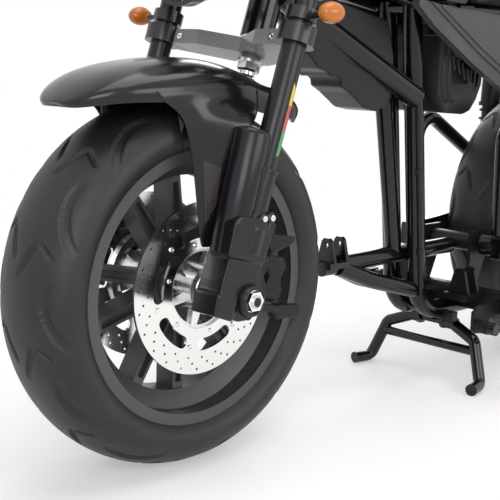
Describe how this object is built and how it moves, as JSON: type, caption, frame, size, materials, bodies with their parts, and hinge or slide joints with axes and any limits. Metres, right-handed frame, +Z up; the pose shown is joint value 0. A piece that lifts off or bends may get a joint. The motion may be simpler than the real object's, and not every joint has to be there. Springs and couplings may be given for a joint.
{
  "type": "electric motorcycle",
  "caption": "Naked electric motorcycle with fat tyres, a wide telescopic fork, a tubular frame, a battery case, a hub motor, a centre stand and a side stand.",
  "frame": {"origin": "on the floor, at the middle of the bounding box, midway between the axles", "axes": "+X to the rear, +Y to the rider's right, +Z up"},
  "size_m": [1.8347, 0.7528, 1.1902],
  "materials": {
    "amber_lens": "gloss",
    "bright_alloy": "polished",
    "caliper_black": "satin",
    "case_black": "satin",
    "chrome": "polished",
    "clamp_grey": "satin",
    "disc_steel": "brushed",
    "fork_black": "satin",
    "fork_chrome": "polished",
    "frame_black": "gloss",
    "gloss_black": "gloss",
    "grip_rubber": "matte",
    "lamp_glass": "clear",
    "lever_black": "satin",
    "motor_black": "satin",
    "moulded_black": "matte",
    "panel_grey": "satin",
    "red_lens": "gloss",
    "seat_cover": "grained",
    "shock_black": "satin",
    "tyre": "satin",
    "wheel_black": "gloss"
  },
  "bodies": {
    "front_wheel": {"front_tyre": "tyre", "front_rim": "wheel_black", "front_discs": "disc_steel", "front_disc_carriers": "bright_alloy"},
    "fork": {"front_axle": "chrome", "fork_stanchions": "fork_chrome", "fork_sliders": "fork_black", "front_fender": "gloss_black", "front_calipers": "caliper_black", "lower_clamp": "clamp_grey", "upper_clamp": "clamp_grey", "headlight_bucket": "gloss_black", "headlight_lens": "lamp_glass", "instrument_panel": "moulded_black", "handlebar": "frame_black", "hand_grips": "grip_rubber", "brake_levers": "lever_black", "mirrors": "moulded_black", "front_indicators": "amber_lens"},
    "rear_wheel": {"rear_tyre": "tyre", "rear_rim": "wheel_black", "hub_motor": "motor_black", "rear_disc": "disc_steel"},
    "centre_stand": {"centre_stand": "frame_black"},
    "side_stand": {"side_stand": "frame_black"},
    "frame": {"battery_case": "case_black", "controller_case": "case_black", "footpegs": "lever_black", "footrest_carrier": "frame_black", "head_bearings": "bright_alloy", "main_frame": "frame_black", "plate_hanger": "moulded_black", "rear_axle": "chrome", "rear_caliper": "caliper_black", "rear_indicators": "amber_lens", "rear_shocks": "shock_black", "seat": "seat_cover", "seat_frame": "frame_black", "side_panels": "panel_grey", "stand_switch_cable": "grip_rubber", "swingarm": "frame_black", "tail_cowl": "gloss_black", "tail_lamp": "red_lens", "tank_cover": "gloss_black"}
  },
  "joints": [
    {"name": "steering", "type": "hinge", "parent": "frame", "child": "fork", "pos_m": [-0.433, 0, 0.69], "axis": [0.309, 0, 0.9511], "range_deg": [-35, 35]},
    {"name": "front_wheel_spin", "type": "hinge", "parent": "fork", "child": "front_wheel", "pos_m": [-0.605, 0, 0.3124], "axis": [0, 1, 0], "continuous": true},
    {"name": "rear_wheel_spin", "type": "hinge", "parent": "frame", "child": "rear_wheel", "pos_m": [0.605, 0, 0.3324], "axis": [0, 1, 0], "continuous": true},
    {"name": "centre_stand_hinge", "type": "hinge", "parent": "frame", "child": "centre_stand", "pos_m": [0.165, 0, 0.126], "axis": [0, -1, 0], "range_deg": [0, 100]},
    {"name": "side_stand_hinge", "type": "hinge", "parent": "frame", "child": "side_stand", "pos_m": [0.107, -0.192, 0.15], "axis": [0, 1, 0], "range_deg": [0, 105]}
  ]
}
